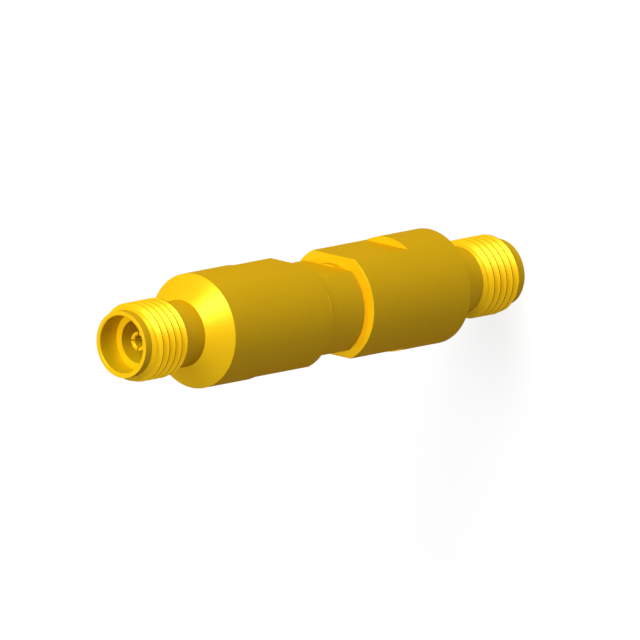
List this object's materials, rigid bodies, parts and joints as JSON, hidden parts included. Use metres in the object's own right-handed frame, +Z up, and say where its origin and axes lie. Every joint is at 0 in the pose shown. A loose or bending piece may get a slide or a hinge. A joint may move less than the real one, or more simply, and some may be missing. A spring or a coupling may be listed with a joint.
{
  "type": "coaxial connector",
  "caption": "Gold-plated straight coaxial adapter: a threaded female air-line port at each end of coned, flatted bodies that screw onto a flatted centre barrel.",
  "frame": {"origin": "centre of the lower nose face, which is the ring that the adapter stands on", "axes": "+Z up the adapter's axis, +X along the normal of the spanner flats"},
  "size_m": [0.0092, 0.0092, 0.0438],
  "materials": {
    "body_gold": "gold-plated turned brass, satin",
    "contact_gold": "gold-plated beryllium copper, smooth",
    "bead_plastic": "amber engineering plastic, fine turned"
  },
  "bodies": {
    "root": {"bead_ring_lower": "body_gold", "bead_ring_upper": "body_gold", "centre_barrel": "body_gold", "centre_rod": "contact_gold", "end_body_lower": "body_gold", "end_body_upper": "body_gold", "socket_contact_lower": "contact_gold", "socket_contact_upper": "contact_gold", "support_bead_lower": "bead_plastic", "support_bead_upper": "bead_plastic"}
  },
  "joints": []
}
